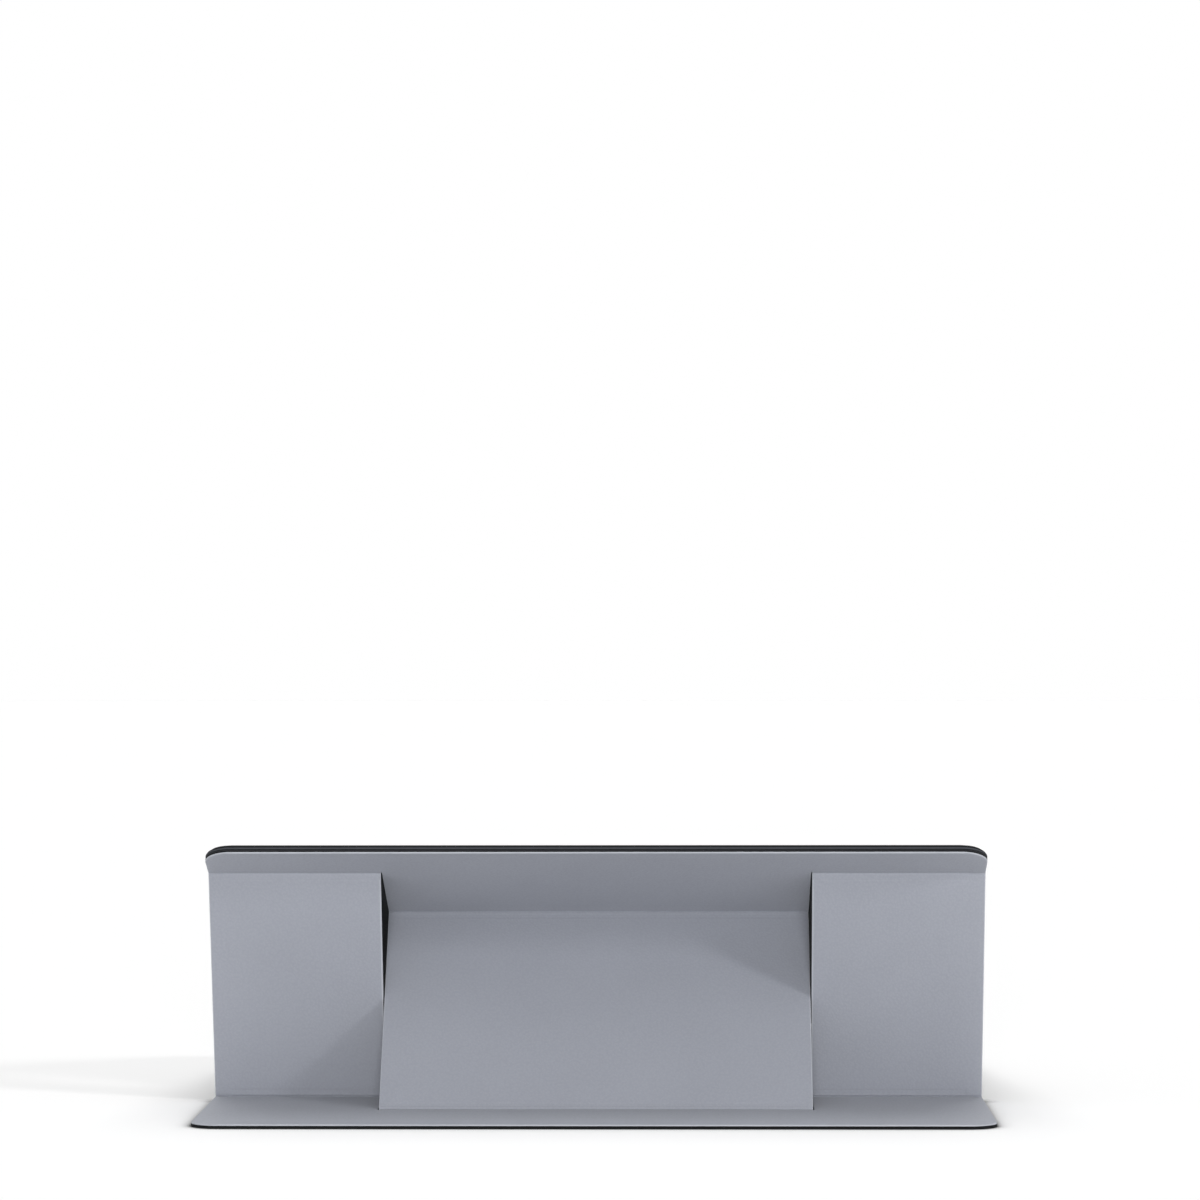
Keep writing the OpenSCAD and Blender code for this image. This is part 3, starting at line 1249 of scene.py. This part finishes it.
@dataclass(frozen=True)
class Studio:
    """The plain white table and room, the lamps, and the camera at the photograph's view.

    Attributes:
        table_half: Half the table's width, in metres.
        table_drop: How far it lies under the stand, in metres, so that no faces coincide.
        table_colour: Its colour.
        table_glow: How much it glows for the camera.
        contact_mm: How near it something has to be for the painted contact shadow to darken it.
        contact_power: How steeply that painted contact shadow darkens.
        ambient: The room's strength as a light.
        camera_mm: The camera's place, in millimetres.
        focal_px: Its focal length, in pixels of the photograph.
        image_px: The photograph's width.
        sensor_mm: Width of the sensor.
        yaw: The camera's turn to the left, in degrees.
        pitch: Its turn upwards.
        roll: Its lean to the left.
        near: The least distance that it sees, in metres.
        far: The greatest one.
    """

    table_half: float = 6.0
    table_drop: float = 0.0001
    table_colour: str = "F9F9F9"
    table_glow: float = 0.09
    contact_mm: float = 7.0
    contact_power: float = 3.5
    ambient: float = 0.12
    camera_mm: tuple[float, float, float] = (26.59, -1303.1, 143.7)
    focal_px: float = 4332.8
    image_px: int = 1200
    sensor_mm: float = 36.0
    yaw: float = 1.15
    pitch: float = 0.2
    roll: float = -0.09
    near: float = 0.05
    far: float = 50.0

    def table(self) -> None:
        """Lays the white table.

        It glows a little for the camera alone and keeps its shadows, and its colour is darkened close
        to what stands on it, as painted contact shadow. It stops no lamp: the lowest part of the front
        lamp lies under the horizon, and stands for the light that a bright table throws back up.
        """
        half = self.table_half
        corners = [(-half, -half), (half, -half), (half, half), (-half, half)]
        mesh = bpy.data.meshes.new("table")
        mesh.from_pydata([(*corner, -self.table_drop) for corner in corners], [], [(0, 1, 2, 3)])
        material = bpy.data.materials.new("white_table")
        material.use_nodes = True
        tree = material.node_tree
        tree.nodes.clear()
        # Painted contact shadow: the table's colour and its glow darken with the share of the sky that
        # nearby things hide
        open_share = add(tree, "AmbientOcclusion", Distance=self.contact_mm * MM).outputs["AO"]
        shade = add(tree, "Math", operation="POWER", i0=open_share, i1=self.contact_power).outputs[0]
        level = linear(self.table_colour)[0]
        colour = add(tree, "Math", operation="MULTIPLY", i0=shade, i1=level).outputs[0]
        white = add(tree, "BsdfDiffuse", Color=colour)
        seen = add(tree, "LightPath").outputs["Is Camera Ray"]
        strength = add(tree, "Math", operation="MULTIPLY", i0=seen, i1=self.table_glow)
        glow = add(tree, "Emission", Color=colour, Strength=strength.outputs[0])
        both = add(tree, "AddShader", i0=white.outputs[0], i1=glow.outputs[0])
        add(tree, "OutputMaterial", Surface=both.outputs[0])
        mesh.materials.append(material)
        table = bpy.data.objects.new("table", mesh)
        bpy.context.scene.collection.objects.link(table)
        table.visible_shadow = False

    def room(self) -> None:
        """Makes the room white to the camera, in gloss and through glass, and softer as a light."""
        world = bpy.data.worlds.new("room")
        bpy.context.scene.world = world
        world.use_nodes = True
        tree = world.node_tree
        tree.nodes.clear()
        rays = add(tree, "LightPath").outputs
        seen = rays["Is Camera Ray"]
        for other in ("Is Glossy Ray", "Is Transmission Ray"):
            seen = add(tree, "Math", operation="MAXIMUM", i0=seen, i1=rays[other]).outputs[0]
        strength = add(tree, "MapRange", i0=seen, i3=self.ambient, i4=1.0)
        white = add(tree, "Background", Color=(1, 1, 1, 1), Strength=strength.outputs[0])
        add(tree, "OutputWorld", Surface=white.outputs[0])

    def camera(self) -> None:
        """Sets the camera where a least-squares fit to the photograph's fold lines put it."""
        data = bpy.data.cameras.new("camera")
        data.sensor_width = self.sensor_mm
        data.lens = self.focal_px / self.image_px * self.sensor_mm
        data.clip_start, data.clip_end = self.near, self.far
        camera = bpy.data.objects.new("camera", data)
        camera.location = Vector(self.camera_mm) * MM
        angles = (90 + self.pitch, -self.roll, self.yaw)
        camera.rotation_euler = tuple(math.radians(angle) for angle in angles)
        bpy.context.scene.collection.objects.link(camera)
        bpy.context.scene.camera = camera

    def build(self) -> None:
        """Sets up everything round the object."""
        bpy.context.scene.view_settings.view_transform = "Standard"
        self.camera()
        self.room()
        self.table()
        for lamp in LAMPS:
            lamp.build()


def dress_hidden_nodes(frame: dict) -> None:
    """Gives the sealed stiffeners and the tape, which stay as CAD made them, their finishes.
    """
    for name, node in frame["nodes"].items():
        if name == "bond_tape" or name.endswith("_stiffener"):
            finish = TISSUE_TAPE if name == "bond_tape" else GLASS_LAMINATE
            node.data.materials.clear()
            node.data.materials.append(finish.build())
            LOG.info("%s is dressed in %s", name, finish.name)


def folding_leaf(leaf: Leaf) -> list[Panel | FoldBand]:
    """Lists the panels and the bands of the folding leaf.

    The legs' top folds bend over the longest stretch and the strut's top fold over the shortest,
    and the legs' foot folds have the deepest crease. The strut's lower band is the only one that
    isn't blended, because the strut's edge isn't joined to it.

    Args:
        leaf: The leaf's sizes.

    Returns:
        The sub-assemblies, in the order in which they are built.
    """
    parts: list[Panel | FoldBand] = [TopPanel(leaf), Strut(leaf), Foot(leaf)]
    for side in Side:
        leg = f"{side.name.lower()}_leg"
        foot_fold = FoldBand(leaf, f"{leg}_foot_fold", Fold.LEG_FOOT, side, bend_half=0.5, crease=0.2)
        parts += [
            Leg(leaf, leg, side=side),
            FoldBand(leaf, f"{leg}_top_fold", Fold.LEG_TOP, side),
            foot_fold,
        ]
    parts += [
        FoldBand(leaf, "strut_top_fold", Fold.STRUT_TOP, bend_half=0.3),
        FoldBand(leaf, "strut_foot_fold", Fold.STRUT_FOOT, blended=False, bend_half=0.5),
    ]
    return parts


def main() -> None:
    """Loads the frame, sets the studio, builds the stand piece by piece, and dresses its hidden nodes.
    """
    logging.basicConfig(level=logging.INFO, format="%(name)s: %(message)s")
    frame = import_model()
    Studio().build()
    leaf = Leaf.from_frame(frame)
    MountingLeaf(leaf).build()
    for part in folding_leaf(leaf):
        part.build()
    dress_hidden_nodes(frame)


if __name__ == "__main__":
    main()
